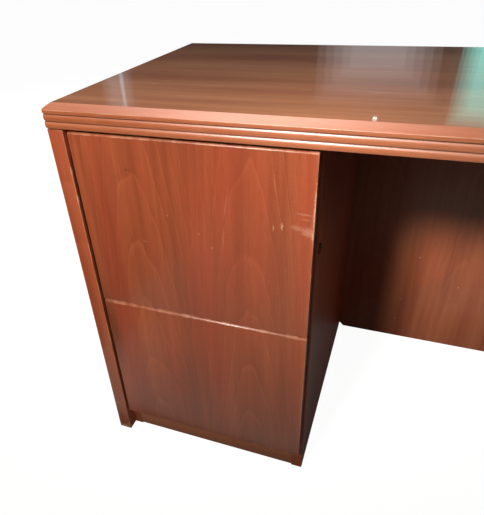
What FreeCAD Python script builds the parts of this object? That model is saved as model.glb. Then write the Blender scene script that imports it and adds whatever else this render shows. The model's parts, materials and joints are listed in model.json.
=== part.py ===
import FreeCAD, Part
import math
import os
from collections import namedtuple

from FreeCAD import Vector

# L-shaped desk in cherry veneer: a desk 72 in long with a 48 in return joined at its left.
# All lengths are in millimetres and all angles in degrees.
# Each of the two runs is built in a frame of its own: U goes from its end panel towards the kneehole,
# V from the drawer fronts towards the modesty panel, and Z up from the floor. Zero is at the
# end panel's outer face and at the face of the drawer fronts.

# The two runs
desk_height = 749.3
desk_length = 1828.8
desk_depth = 762.0
return_length = 1219.2
return_depth = 571.5

# Tops, with a solid moulding round a veneered panel
top_thickness = 36.3
top_front_overhang = 7.3
top_end_overhang = 1.5
bevel_width = 13.7
bevel_height = 8.5
fascia_height = 5.5
upper_reed_height = 11.2
reed_relief = 2.2
reed_nose_share = 0.45
tongue_depth = 8.0
tongue_thickness = 6.0
tongue_stop = 24.0
corner_ease = 4.5

# Panels that stand on the floor, and the black reveal between them and the tops
reveal_height = 2.5
spacer_width = 16.0
spacer_stop = 14.0
glide_height = 2.0
glide_radius = 9.5
glide_inset = 40.0
glide_nail_radius = 1.2
glide_nail_length = 15.0
end_panel_thickness = 28.0
end_panel_setback = 4.8
foot_chamfer = 3.0
arris = 1.0
modesty_thickness = 19.0
modesty_setback = 39.7
modesty_corner = 12.0

# Pedestal cases
case_width = 403.3
outer_side_thickness = 19.0
inner_side_thickness = 22.5
case_bottom_thickness = 16.0
base_rail_lift = 3.0
base_rail_height = 55.0
base_rail_thickness = 18.0
rail_width = 60.0
rail_thickness = 18.0
divider_thickness = 16.0

# Drawer fronts, which cover the case's front edges
front_thickness = 20.0
front_standoff = 2.0
front_near_margin = 5.5
front_far_margin = 3.9
front_top_drop = 2.5
front_foot_height = 67.0
file_front_height = 316.7
front_gap = 3.0
front_top_chamfer = 3.0
grip_width = 12.0
grip_depth = 8.0

# Drawer boxes
box_wall = 12.0
box_rise = 14.0
box_top_drop = 48.0
box_bottom_thickness = 6.0
box_bottom_rise = 8.0
box_groove_depth = 6.0
file_rail_wall = 1.0
file_rail_skirt = 8.0
file_rail_lip = 6.0

# Three-member drawer slides
slide_gap = 12.7
slide_height = 45.0
slide_wall = 1.2
slide_inset = 4.0
return_slide_length = 450.0
desk_slide_length = 550.0

# Locks, with a bar that runs in a groove of the kneehole side
lock_drop = 164.0
lock_setback = 11.0
housing_radius = 7.0
bezel_radius = 9.0
bezel_thickness = 2.5
plug_radius = 5.0
plug_recess = 0.6
keyway_width = 1.6
keyway_length = 7.0
keyway_depth = 6.0
cam_hub_radius = 6.0
cam_arm_width = 8.0
cam_thickness = 1.8
cam_pin_radius = 2.0
cam_pin_throw = 7.0
cam_rest_angle = -45.0
bar_offset = 7.0
bar_width = 22.0
bar_thickness = 2.0
bar_end_margin = 8.0
bar_lock_margin = 16.0
bar_groove_margin = 1.0
keeper_thickness = 2.0
keeper_height = 15.0
keeper_shares = (0.15, 0.46, 0.8)
stud_radius = 3.0
stud_length = 12.0
stud_offset = 2.0
stud_to_catch = 2.0
catch_length = 12.0
catch_height = 7.0
catch_thickness = 6.7
catch_rise = 14.0

# Steel that joins the runs and holds the tops down
plate_length = 90.0
plate_width = 50.0
plate_thickness = 3.0
plate_place_shares = (0.2, 0.78)
plate_hole_inset = 14.0
screw_radius = 2.2
screw_head_radius = 4.2
screw_head_height = 2.4
screw_bite = 15.0
rail_screw_shares = (0.2, 0.8)

# Clearances, and the overrun of every cut
running_clearance = 0.3
plug_clearance = 0.08
fixed_clearance = 0.1
tip_clearance = 1.0
overrun = 5.0

# Heights that several pieces share
top_underside = desk_height - top_thickness
panel_top = top_underside - reveal_height
panel_foot = glide_height
rail_foot = panel_foot + base_rail_lift
case_floor = rail_foot + base_rail_height + case_bottom_thickness
fronts_top = panel_top - front_top_drop
lock_height = fronts_top - lock_drop

# Places across a pedestal, along U
case_near = end_panel_thickness
case_far = case_near + case_width
inside_near = case_near + outer_side_thickness
inside_far = case_far - inner_side_thickness
box_near = inside_near + slide_gap
box_far = inside_far - slide_gap

# Places from front to back, along V
case_front = front_thickness + front_standoff
slide_front = case_front + slide_inset
lock_v = case_front + lock_setback
bar_v = lock_v + bar_offset
groove_low_v = lock_v - cam_hub_radius - running_clearance
groove_high_v = bar_v + bar_width / 2 + bar_groove_margin

# The groove of the lock bar, layer by layer from the case's inside
bar_near = inside_far + keeper_thickness + running_clearance
bar_far = bar_near + bar_thickness
cam_near = bar_far + running_clearance
cam_far = cam_near + cam_thickness
groove_far = cam_far + running_clearance
bar_travel = 2 * cam_pin_throw * math.sin(math.radians(-cam_rest_angle))

Run = namedtuple("Run", "name length depth slide_length drawers far_panel")
Drawer = namedtuple("Drawer", "name low high box_height is_file")


# Plain shapes
def block(low, high):
    """A box from its lowest corner to its highest."""
    size = [high[i] - low[i] for i in range(3)]
    return Part.makeBox(size[0], size[1], size[2], Vector(*low))


def rod(start, axis, radius, length):
    """A round bar from its start, along an axis."""
    return Part.makeCylinder(radius, length, Vector(*start), Vector(*axis))


def corner_points(low, high, cuts):
    """A rectangle's corners, anticlockwise from the lowest, each cut off by its (across, up) pair."""
    corners = ((low[0], low[1]), (high[0], low[1]), (high[0], high[1]), (low[0], high[1]))
    inward = ((1, 1), (-1, 1), (-1, -1), (1, -1))
    points = []
    for i in range(4):
        across, up = cuts[i]
        a, b = corners[i]
        cut_a = (a + inward[i][0] * across, b)
        cut_b = (a, b + inward[i][1] * up)
        pair = (cut_b, cut_a) if i % 2 == 0 else (cut_a, cut_b)
        points.extend(pair if across else (corners[i],))
    return points


def plan_prism(points, low_z, high_z):
    """A prism over a polygon in plan."""
    ring = [Vector(u, v, low_z) for u, v in points]
    face = Part.Face(Part.makePolygon(ring + ring[:1]))
    return face.extrude(Vector(0, 0, high_z - low_z))


def side_prism(points, low_u, high_u):
    """A prism over a polygon in side view, drawn in V and Z."""
    ring = [Vector(low_u, v, z) for v, z in points]
    face = Part.Face(Part.makePolygon(ring + ring[:1]))
    return face.extrude(Vector(high_u - low_u, 0, 0))


def swap_uv(shape):
    """The same shape with its first two axes exchanged."""
    return shape.mirror(Vector(0, 0, 0), Vector(1, -1, 0))


# Tops
def moulded_edge(place):
    """The moulding's outline from the underside up; place turns a setback into a plan coordinate."""
    lower_reed_height = top_thickness - bevel_height - fascia_height - upper_reed_height
    edges = []
    z = top_underside
    last = None
    for height in (lower_reed_height, upper_reed_height):
        nose = height * reed_nose_share
        radius = ((height - nose) ** 2 + reed_relief ** 2) / (2 * reed_relief)
        foot = Vector(place(radius - math.sqrt(radius ** 2 - nose ** 2)), 0, z)
        if last is not None:
            edges.append(Part.LineSegment(last, foot).toShape())
        last = Vector(place(reed_relief), 0, z + height)
        edges.append(Part.Arc(foot, Vector(place(0), 0, z + nose), last).toShape())
        z += height
    corners = (
        Vector(place(0), 0, z),
        Vector(place(0), 0, z + fascia_height),
        Vector(place(bevel_width), 0, desk_height),
    )
    for corner in corners:
        edges.append(Part.LineSegment(last, corner).toShape())
        last = corner
    return edges


def square_edge(at):
    """A plain upright edge."""
    foot = Vector(at, 0, top_underside)
    head = Vector(at, 0, desk_height)
    return [Part.LineSegment(foot, head).toShape()]


def top_section(span, far_moulded):
    """The cross-section of a top whose near edge is moulded, and whose far edge may be."""
    near = moulded_edge(lambda setback: setback)
    far = moulded_edge(lambda setback: span - setback) if far_moulded else square_edge(span)
    lower = Part.LineSegment(near[0].Vertexes[0].Point, far[0].Vertexes[0].Point).toShape()
    upper = Part.LineSegment(near[-1].Vertexes[-1].Point, far[-1].Vertexes[-1].Point).toShape()
    edges = near + far + [lower, upper]
    return Part.Face(Part.Wire(Part.sortEdges(edges)[0]))


def top_pieces(run):
    """The veneered panel and the mitred mouldings round it."""
    far_moulded = run.far_panel
    ends = top_section(run.length, far_moulded).extrude(Vector(0, run.depth, 0))
    sides = swap_uv(top_section(run.depth, True).extrude(Vector(0, run.length, 0)))
    ease = (corner_ease, corner_ease)
    far_ease = ease if far_moulded else (0, 0)
    outline = corner_points((0, 0), (run.length, run.depth), (ease, far_ease, far_ease, ease))
    board = ends.common(sides).common(plan_prism(outline, top_underside, desk_height))
    low = bevel_width
    high_v = run.depth - bevel_width
    high_u = run.length - bevel_width if far_moulded else run.length
    plans = {
        "front": ((0, 0), (run.length, 0), (high_u, low), (low, low)),
        "back": ((low, high_v), (high_u, high_v), (run.length, run.depth), (0, run.depth)),
        "near_end": ((0, 0), (low, low), (low, high_v), (0, run.depth)),
    }
    if far_moulded:
        plans["far_end"] = ((high_u, low), (run.length, 0), (run.length, run.depth), (high_u, high_v))
    tongues = tongue_blocks(low, high_u, high_v, far_moulded)
    moulding = {}
    for name, plan in plans.items():
        cutter = plan_prism(plan, top_underside - overrun, desk_height + overrun)
        moulding[name] = board.common(cutter).fuse(tongues[name]).removeSplitter()
    panel = board.common(block((low, low, top_underside), (high_u, high_v, desk_height)))
    panel = panel.cut(Part.makeCompound(list(tongues.values())))
    for piece in [panel] + list(moulding.values()):
        piece.translate(Vector(-top_end_overhang, -top_front_overhang, 0))
    return panel, moulding


def tongue_blocks(low, high_u, high_v, far_moulded):
    """The tongue on the back of each moulding, which a groove in the panel takes."""
    z0 = top_underside + (top_thickness - tongue_thickness) / 2
    z1 = z0 + tongue_thickness
    start = low + tongue_stop
    end_u = high_u - tongue_stop
    end_v = high_v - tongue_stop
    blocks = {
        "front": block((start, low, z0), (end_u, low + tongue_depth, z1)),
        "back": block((start, high_v - tongue_depth, z0), (end_u, high_v, z1)),
        "near_end": block((low, start, z0), (low + tongue_depth, end_v, z1)),
    }
    if far_moulded:
        blocks["far_end"] = block((high_u - tongue_depth, start, z0), (high_u, end_v, z1))
    return blocks


# Panels on the floor
def end_panel_span(run):
    """Where an end panel starts and ends from front to back."""
    low = end_panel_setback - top_front_overhang
    return low, run.depth - top_front_overhang - end_panel_setback


def end_panel(run, outer_u, inner_u):
    """A thick end panel with eased edges and its foot's corners cut off."""
    low, high = end_panel_span(run)
    left, right = sorted((outer_u, inner_u))
    ease = (arris, arris)
    foot = (foot_chamfer, foot_chamfer)
    plan = corner_points((left, low), (right, high), (ease, ease, ease, ease))
    side = corner_points((low, panel_foot), (high, panel_top), (foot, foot, ease, ease))
    upright = plan_prism(plan, panel_foot, panel_top)
    return upright.common(side_prism(side, left, right))


def back_plane(run):
    """Where the modesty panel's front face lies."""
    return run.depth - top_front_overhang - modesty_setback


def modesty_end(run):
    """Where the modesty panel ends, away from the pedestal."""
    if run.far_panel:
        return run.length - 2 * top_end_overhang - end_panel_thickness
    return run.length - top_end_overhang + end_panel_setback


def modesty_panel(run):
    """The panel behind the kneehole, with its lower corner by the pedestal cut off."""
    front = back_plane(run)
    none = (0, 0)
    high = (modesty_end(run), front + modesty_thickness)
    plan = corner_points((case_far, front), high, (none, none, none, (arris, arris)))
    panel = plan_prism(plan, panel_foot, panel_top)
    corner = (
        (case_far, panel_foot),
        (case_far + modesty_corner, panel_foot),
        (case_far, panel_foot + modesty_corner),
    )
    ring = [Vector(u, front - overrun, z) for u, z in corner]
    wedge = Part.Face(Part.makePolygon(ring + ring[:1]))
    return panel.cut(wedge.extrude(Vector(0, modesty_thickness + 2 * overrun, 0)))


# Pedestal case
def outer_side(run):
    """The case side against the end panel."""
    return block((case_near, case_front, panel_foot), (inside_near, back_plane(run), panel_top))


def inner_side(run):
    """The case side at the kneehole, with the bar's groove and the lock's hole."""
    ease = (arris, arris)
    none = (0, 0)
    low = (inside_far, case_front)
    plan = corner_points(low, (case_far, back_plane(run)), (none, ease, none, none))
    side = plan_prism(plan, panel_foot, panel_top)
    low_z, high_z = bar_span(run)
    groove = block(
        (inside_far - overrun, groove_low_v, low_z - tip_clearance),
        (groove_far, groove_high_v, high_z + bar_travel + tip_clearance),
    )
    hole_radius = housing_radius + fixed_clearance
    hole = rod((groove_far - overrun, lock_v, lock_height), (1, 0, 0), hole_radius, case_far)
    return side.cut(groove).cut(hole)


def case_bottom(run):
    """The shelf under the lowest drawer."""
    low_z = case_floor - case_bottom_thickness
    return block((inside_near, case_front, low_z), (inside_far, back_plane(run), case_floor))


def case_back(run):
    """The pedestal's back, in line with the modesty panel."""
    front = back_plane(run)
    none = (0, 0)
    high = (case_far, front + modesty_thickness)
    plan = corner_points((case_near, front), high, (none, none, (arris, arris), none))
    return plan_prism(plan, panel_foot, panel_top)


def base_rail():
    """The rail that closes the foot below the lowest front."""
    high = (inside_far, case_front + base_rail_thickness, rail_foot + base_rail_height)
    return block((inside_near, case_front, rail_foot), high)


def top_rail_spans(run):
    """Front and rear top rails, from front to back."""
    rear = back_plane(run)
    return ((case_front, case_front + rail_width), (rear - rail_width, rear))


def case_rails(run):
    """The two top rails, and a divider rail at each gap between fronts."""
    rails = []
    for low, high in top_rail_spans(run):
        rails.append(block((inside_near, low, panel_top - rail_thickness), (inside_far, high, panel_top)))
    for drawer in run.drawers[1:]:
        middle = drawer.low - front_gap / 2
        low = (inside_near, case_front, middle - divider_thickness / 2)
        high = (inside_far, case_front + rail_width, middle + divider_thickness / 2)
        rails.append(block(low, high))
    return rails


# Spacers that carry the tops and make the black reveal
def run_spacers(run):
    """Strips on the end panels, the modesty panel and the case's top rails."""
    low, high = end_panel_span(run)
    inset = (end_panel_thickness - spacer_width) / 2
    lefts = [inset]
    if run.far_panel:
        lefts.append(modesty_end(run) + inset)
    strips = []
    for left in lefts:
        corner = (left + spacer_width, high - spacer_stop, top_underside)
        strips.append(block((left, low + spacer_stop, panel_top), corner))
    front = back_plane(run) + (modesty_thickness - spacer_width) / 2
    corner = (modesty_end(run) - spacer_stop, front + spacer_width, top_underside)
    strips.append(block((case_far + spacer_stop, front, panel_top), corner))
    for low, high in top_rail_spans(run):
        middle = (low + high) / 2
        start = (inside_near + spacer_stop, middle - spacer_width / 2, panel_top)
        strips.append(block(start, (inside_far, middle + spacer_width / 2, top_underside)))
    return strips


# Drawers
def drawer_list(names):
    """Drawers from the lowest up: one file drawer, and what is left shared by the others."""
    low = front_foot_height
    spans = [(low, low + file_front_height)]
    others = len(names) - 1
    low += file_front_height + front_gap
    height = (fronts_top - low - (others - 1) * front_gap) / others
    for place in range(others):
        start = low + place * (height + front_gap)
        spans.append((start, start + height))
    drawers = []
    for name, (start, end) in zip(names, spans):
        box_height = end - start - box_rise - box_top_drop
        is_file = others == 1 or start == front_foot_height
        drawers.append(Drawer(name, start, end, box_height, is_file))
    return drawers


def drawer_front(drawer):
    """The applied front: its top edge bevelled, and its kneehole edge undercut for the fingers."""
    near = case_near + front_near_margin
    far = case_far - front_far_margin
    ease = (arris, arris)
    none = (0, 0)
    grip = (grip_width, grip_depth)
    top = (front_top_chamfer, front_top_chamfer)
    plan = corner_points((near, 0), (far, front_thickness), (ease, ease, grip, none))
    low = (0, drawer.low)
    side = corner_points(low, (front_thickness, drawer.high), (ease, none, none, top))
    upright = plan_prism(plan, drawer.low, drawer.high)
    return upright.common(side_prism(side, near, far))


def box_back(run):
    """Where the drawer boxes end."""
    return slide_front + run.slide_length


def drawer_box(run, drawer):
    """Two sides, the inner front, the back and the bottom in their grooves."""
    low_z = drawer.low + box_rise
    high_z = low_z + drawer.box_height
    front = front_thickness
    back = box_back(run)
    left = box_near + box_wall
    right = box_far - box_wall
    walls = [
        block((box_near, front, low_z), (left, back, high_z)),
        block((right, front, low_z), (box_far, back, high_z)),
        block((left, front, low_z), (right, front + box_wall, high_z)),
        block((left, back - box_wall, low_z), (right, back, high_z)),
    ]
    reach = box_wall - box_groove_depth
    bottom_z = low_z + box_bottom_rise
    bottom = block(
        (box_near + reach, front + reach, bottom_z),
        (box_far - reach, back - reach, bottom_z + box_bottom_thickness),
    )
    return [wall.cut(bottom) for wall in walls] + [bottom]


def file_rails(run, drawer):
    """A steel cap on each side of a file drawer, with a lip that the folders hang from."""
    side_top = drawer.low + box_rise + drawer.box_height
    skirt = side_top - file_rail_skirt
    crown = side_top + file_rail_wall
    inner = box_near + box_wall
    outline = (
        (box_near, side_top),
        (inner, side_top),
        (inner, skirt),
        (inner + file_rail_wall, skirt),
        (inner + file_rail_wall, crown + file_rail_lip),
        (inner, crown + file_rail_lip),
        (inner, crown),
        (box_near, crown),
    )
    start = front_thickness + box_wall
    length = box_back(run) - box_wall - start
    ring = [Vector(u, start, z) for u, z in outline]
    near_rail = Part.Face(Part.makePolygon(ring + ring[:1])).extrude(Vector(0, length, 0))
    middle = Vector((box_near + box_far) / 2, 0, 0)
    return [near_rail, near_rail.mirror(middle, Vector(1, 0, 0))]


# Drawer slides
def channel(height, web, flange_end, run, middle_z):
    """A channel beside the near case side: web and flange_end are places across the slide gap."""
    back = slide_front + run.slide_length
    low_z = middle_z - height / 2
    high_z = middle_z + height / 2
    outer = sorted((web, flange_end))
    body = block((inside_near + outer[0], slide_front, low_z), (inside_near + outer[1], back, high_z))
    opens_up = flange_end > web
    hollow_low = outer[0] + slide_wall if opens_up else outer[0] - overrun
    hollow_high = outer[1] + overrun if opens_up else outer[1] - slide_wall
    hollow = block(
        (inside_near + hollow_low, slide_front - overrun, low_z + slide_wall),
        (inside_near + hollow_high, back + overrun, high_z - slide_wall),
    )
    return body.cut(hollow)


def slide_pair(member, run, drawer):
    """The same slide member at both sides of a drawer."""
    step = slide_wall + running_clearance
    middle_z = drawer.low + box_rise + drawer.box_height / 2
    reach = slide_gap - step
    shapes = {
        "outer": (slide_height, 0, reach),
        "middle": (slide_height - 2 * step, step, reach),
        "inner": (slide_height - 4 * step, slide_gap, 2 * step),
    }
    height, web, flange_end = shapes[member]
    near_side = channel(height, web, flange_end, run, middle_z)
    middle = Vector((inside_near + inside_far) / 2, 0, 0)
    return [near_side, near_side.mirror(middle, Vector(1, 0, 0))]


# Locks
def stud_height(drawer):
    """The height of a drawer's locking stud while the lock is open."""
    return drawer.low + box_rise + catch_rise - bar_travel


def bar_span(run):
    """The lock bar's lower and upper ends while the lock is open."""
    low = stud_height(run.drawers[0]) - bar_end_margin
    top_stud = stud_height(run.drawers[-1]) + bar_end_margin
    return low, max(top_stud, lock_height + bar_lock_margin)


def lock_bar(run):
    """The sliding bar, with a slot for the cam's pin and one stud for each drawer."""
    low_z, high_z = bar_span(run)
    bar = block((bar_near, bar_v - bar_width / 2, low_z), (bar_far, bar_v + bar_width / 2, high_z))
    angle = math.radians(cam_rest_angle)
    slot_z = lock_height + cam_pin_throw * math.sin(angle)
    half = cam_pin_radius + running_clearance
    slot = block(
        (bar_near - overrun, lock_v + cam_pin_throw * math.cos(angle) - half, slot_z - half),
        (bar_far + overrun, lock_v + cam_pin_throw + half, slot_z + half),
    )
    pieces = [bar.cut(slot)]
    for drawer in run.drawers:
        start = (bar_near - stud_length, bar_v - stud_offset, stud_height(drawer))
        pieces.append(rod(start, (1, 0, 0), stud_radius, stud_length))
    return pieces


def bar_keepers(run):
    """Small plates, flush in the groove, that hold the bar in."""
    low_z, high_z = bar_span(run)
    keepers = []
    for share in keeper_shares:
        middle = low_z + share * (high_z - low_z)
        low = (inside_far, groove_low_v, middle - keeper_height / 2)
        high = (inside_far + keeper_thickness, groove_high_v, middle + keeper_height / 2)
        keepers.append(block(low, high))
    return keepers


def lock_housing():
    """The fixed barrel with its round bezel."""
    start = (groove_far, lock_v, lock_height)
    face = (case_far, lock_v, lock_height)
    barrel = rod(start, (1, 0, 0), housing_radius, case_far - groove_far)
    bezel = rod(face, (1, 0, 0), bezel_radius, bezel_thickness)
    bore_start = (groove_far - overrun, lock_v, lock_height)
    bore = rod(bore_start, (1, 0, 0), plug_radius + plug_clearance, case_far)
    return barrel.fuse(bezel).removeSplitter().cut(bore)


def lock_plug():
    """The turning plug with its keyway, its cam and the cam's pin."""
    face_u = case_far + bezel_thickness - plug_recess
    plug = rod((cam_far, lock_v, lock_height), (1, 0, 0), plug_radius, face_u - cam_far)
    keyway = block(
        (face_u - keyway_depth, lock_v - keyway_width / 2, lock_height - keyway_length / 2),
        (face_u + overrun, lock_v + keyway_width / 2, lock_height + keyway_length / 2),
    )
    hub = rod((cam_near, lock_v, lock_height), (1, 0, 0), cam_hub_radius, cam_thickness)
    angle = math.radians(cam_rest_angle)
    pin_v = lock_v + cam_pin_throw * math.cos(angle)
    pin_z = lock_height + cam_pin_throw * math.sin(angle)
    arm = block(
        (cam_near, lock_v, lock_height - cam_arm_width / 2),
        (cam_far, lock_v + cam_pin_throw, lock_height + cam_arm_width / 2),
    )
    arm.rotate(Vector(0, lock_v, lock_height), Vector(1, 0, 0), cam_rest_angle)
    tip = rod((cam_near, pin_v, pin_z), (1, 0, 0), cam_arm_width / 2, cam_thickness)
    pin_length = running_clearance + bar_thickness
    pin = rod((cam_near - pin_length, pin_v, pin_z), (1, 0, 0), cam_pin_radius, pin_length)
    return plug.cut(keyway).fuse([hub, arm, tip, pin]).removeSplitter()


def drawer_catch(drawer):
    """The steel catch on the box, which the stud stops when the lock is shut."""
    middle_z = drawer.low + box_rise + catch_rise
    front = bar_v - stud_offset + stud_radius + stud_to_catch
    low = (box_far, front, middle_z - catch_height / 2)
    high = (box_far + catch_thickness, front + catch_length, middle_z + catch_height / 2)
    return block(low, high)


# Glides, plates and screws
def glide_places(run):
    """Where the glides stand, in pairs under each upright panel."""
    low, high = end_panel_span(run)
    rear = back_plane(run)
    uprights = [
        (end_panel_thickness / 2, low, high),
        (case_near + outer_side_thickness / 2, case_front, rear),
        (case_far - inner_side_thickness / 2, case_front, rear),
    ]
    if run.far_panel:
        uprights.append((modesty_end(run) + end_panel_thickness / 2, low, high))
    places = []
    for u, front, back in uprights:
        places.extend([(u, front + glide_inset), (u, back - glide_inset)])
    return places


def glide(place):
    """A round nail-in glide."""
    disc = rod((place[0], place[1], 0), (0, 0, 1), glide_radius, glide_height)
    nail = rod((place[0], place[1], glide_height), (0, 0, 1), glide_nail_radius, glide_nail_length)
    return disc.fuse(nail).removeSplitter()


def nail_hole(place):
    """The hole for a glide's nail."""
    start = (place[0], place[1], glide_height - overrun)
    depth = overrun + glide_nail_length + tip_clearance
    return rod(start, (0, 0, 1), glide_nail_radius + fixed_clearance, depth)


def rail_screw_places(run):
    """Screws that go up through the top rails into the top."""
    span = inside_far - inside_near
    places = []
    for low, high in top_rail_spans(run):
        for share in rail_screw_shares:
            places.append((inside_near + share * span, (low + high) / 2))
    return places


def screw(place, low_z, length):
    """An upright screw whose head bears on the face at low_z."""
    head = rod((place[0], place[1], low_z - screw_head_height), (0, 0, 1), screw_head_radius,
               screw_head_height)
    shank = rod((place[0], place[1], low_z), (0, 0, 1), screw_radius, length)
    return head.fuse(shank).removeSplitter()


def screw_hole(place, low_z, length):
    """The hole that a screw's shank goes through."""
    start = (place[0], place[1], low_z - overrun / 2)
    depth = length + tip_clearance + overrun / 2
    return rod(start, (0, 0, 1), screw_radius + fixed_clearance, depth)


def joining_plate_centres():
    """The middles of the plates, under the line where the return's top meets the desk's."""
    seam = return_length - top_end_overhang
    return [(seam, share * return_depth - top_front_overhang) for share in plate_place_shares]


def plate_screw_places():
    """Four screws in each joining plate."""
    reach_x = plate_length / 2 - plate_hole_inset
    reach_y = plate_width / 2 - plate_hole_inset
    places = []
    for x, y in joining_plate_centres():
        for side in (-1, 1):
            for end in (-1, 1):
                places.append((x + side * reach_x, y + end * reach_y))
    return places


def joining_plates():
    """Flat steel plates that tie the two tops together."""
    plates = []
    for x, y in joining_plate_centres():
        low = (x - plate_length / 2, y - plate_width / 2, top_underside - plate_thickness)
        high = (x + plate_length / 2, y + plate_width / 2, top_underside)
        plates.append(block(low, high))
    return plates


# The runs
def desk_offset():
    """Where the desk run's own zero lies in the return's frame."""
    x = return_length - top_end_overhang + top_front_overhang
    y = return_depth - top_front_overhang - (desk_length - top_end_overhang)
    return Vector(x, y, 0)


def place_return(shape):
    """The return is built where it stands."""
    return shape


def place_desk(shape):
    """The desk run turns the corner: its length lies along Y and its fronts face the return's."""
    placed = swap_uv(shape)
    placed.translate(desk_offset())
    return placed


def run_nodes(run):
    """Every piece of one run, by node name, as lists of solids in the run's own frame."""
    panel, moulding = top_pieces(run)
    near_names = {"return": "return_end_panel", "desk": "desk_near_end_panel"}
    nodes = {
        "%s_top_panel" % run.name: [panel],
        near_names[run.name]: [end_panel(run, 0, end_panel_thickness)],
        "%s_case_outer_side" % run.name: [outer_side(run)],
        "%s_case_inner_side" % run.name: [inner_side(run)],
        "%s_case_bottom" % run.name: [case_bottom(run)],
        "%s_case_back" % run.name: [case_back(run)],
        "%s_case_base_rail" % run.name: [base_rail()],
        "%s_case_rails" % run.name: case_rails(run),
        "%s_modesty_panel" % run.name: [modesty_panel(run)],
        "%s_lock_housing" % run.name: [lock_housing()],
        "%s_lock_plug" % run.name: [lock_plug()],
        "%s_lock_bar" % run.name: lock_bar(run),
        "lock_bar_keepers": bar_keepers(run),
        "top_spacer_strips": run_spacers(run),
        "floor_glides": [glide(place) for place in glide_places(run)],
        "slide_outer_members": [],
    }
    for side, piece in moulding.items():
        nodes["%s_top_edge_%s" % (run.name, side)] = [piece]
    if run.far_panel:
        inner = modesty_end(run)
        nodes["desk_far_end_panel"] = [end_panel(run, inner + end_panel_thickness, inner)]
    for drawer in run.drawers:
        nodes["%s_front" % drawer.name] = [drawer_front(drawer)]
        nodes["%s_box" % drawer.name] = drawer_box(run, drawer)
        inner_members = slide_pair("inner", run, drawer) + [drawer_catch(drawer)]
        nodes["%s_slide_inner" % drawer.name] = inner_members
        nodes["%s_slide_middle" % drawer.name] = slide_pair("middle", run, drawer)
        nodes["slide_outer_members"] += slide_pair("outer", run, drawer)
        if drawer.is_file:
            nodes["%s_file_rails" % drawer.name] = file_rails(run, drawer)
    return nodes


def run_screws(run, place_run):
    """The run's rail screws, and all the holes to drill, where they stand in the desk."""
    length = rail_thickness + reveal_height + screw_bite
    low_z = panel_top - rail_thickness
    places = rail_screw_places(run)
    screws = [place_run(screw(place, low_z, length)) for place in places]
    holes = [screw_hole(place, low_z, length) for place in places]
    holes += [nail_hole(place) for place in glide_places(run)]
    return screws, [place_run(hole) for hole in holes]


def plate_screws():
    """The joining plates' screws and their holes."""
    low_z = top_underside - plate_thickness
    length = plate_thickness + screw_bite
    places = plate_screw_places()
    screws = [screw(place, low_z, length) for place in places]
    holes = [screw_hole(place, low_z, length) for place in places]
    return screws, holes


def desk_nodes():
    """The whole desk by node name, as lists of solids in the return's frame."""
    return_drawers = drawer_list(("return_lower_drawer", "return_upper_drawer"))
    desk_drawers = drawer_list(("desk_file_drawer", "desk_middle_drawer", "desk_upper_drawer"))
    runs = (
        (Run("return", return_length, return_depth, return_slide_length, return_drawers, False),
         place_return),
        (Run("desk", desk_length, desk_depth, desk_slide_length, desk_drawers, True), place_desk),
    )
    nodes = {"joining_plates": joining_plates()}
    screws, holes = plate_screws()
    for run, place_run in runs:
        for name, solids in run_nodes(run).items():
            nodes.setdefault(name, []).extend(place_run(solid) for solid in solids)
        more_screws, more_holes = run_screws(run, place_run)
        screws += more_screws
        holes += more_holes
    ends = nodes.pop("desk_top_edge_near_end") + nodes.pop("desk_top_edge_far_end")
    nodes["desk_top_edge_ends"] = ends
    drilled = ["top_spacer_strips", "joining_plates", "return_end_panel", "desk_near_end_panel",
               "desk_far_end_panel"]
    for piece in ("top_panel", "case_rails", "case_outer_side", "case_inner_side"):
        drilled += ["return_" + piece, "desk_" + piece]
    all_holes = Part.makeCompound(holes)
    for name in drilled:
        nodes[name] = [solid.cut(all_holes) for solid in nodes[name]]
    nodes["fixing_screws"] = screws
    return nodes


def save(name, solids, shift):
    """Write one node, moved so that the origin is under the middle of the whole desk."""
    shape = Part.makeCompound(solids) if len(solids) > 1 else solids[0]
    shape.translate(shift)
    shape.exportStep("parts/%s.step" % name)
    print("%s: %d solids, %.0f cm3" % (name, len(shape.Solids), shape.Volume / 1000))


def main():
    os.makedirs("parts", exist_ok=True)
    left = -top_end_overhang
    right = return_length - top_end_overhang + desk_depth
    back = return_depth - top_front_overhang
    shift = Vector(-(left + right) / 2, desk_length / 2 - back, 0)
    nodes = desk_nodes()
    for name, solids in nodes.items():
        save(name, solids, shift)
    print("nodes:", len(nodes))


main()
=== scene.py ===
# %% [markdown]
# # An L-shaped desk in cherry
# The desk has two runs. The return, with two file drawers, is what a person in the open corner
# looks down on. The desk proper comes towards that person at the right, with a file drawer and
# two box drawers. Its solids come packed as a frame that never moves. This lesson dresses them:
# pieces that need soft arrises, a moulded or turned outline or rolled edges are modelled anew over
# their solids, and the plain boards keep their solids and get a finish.

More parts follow.
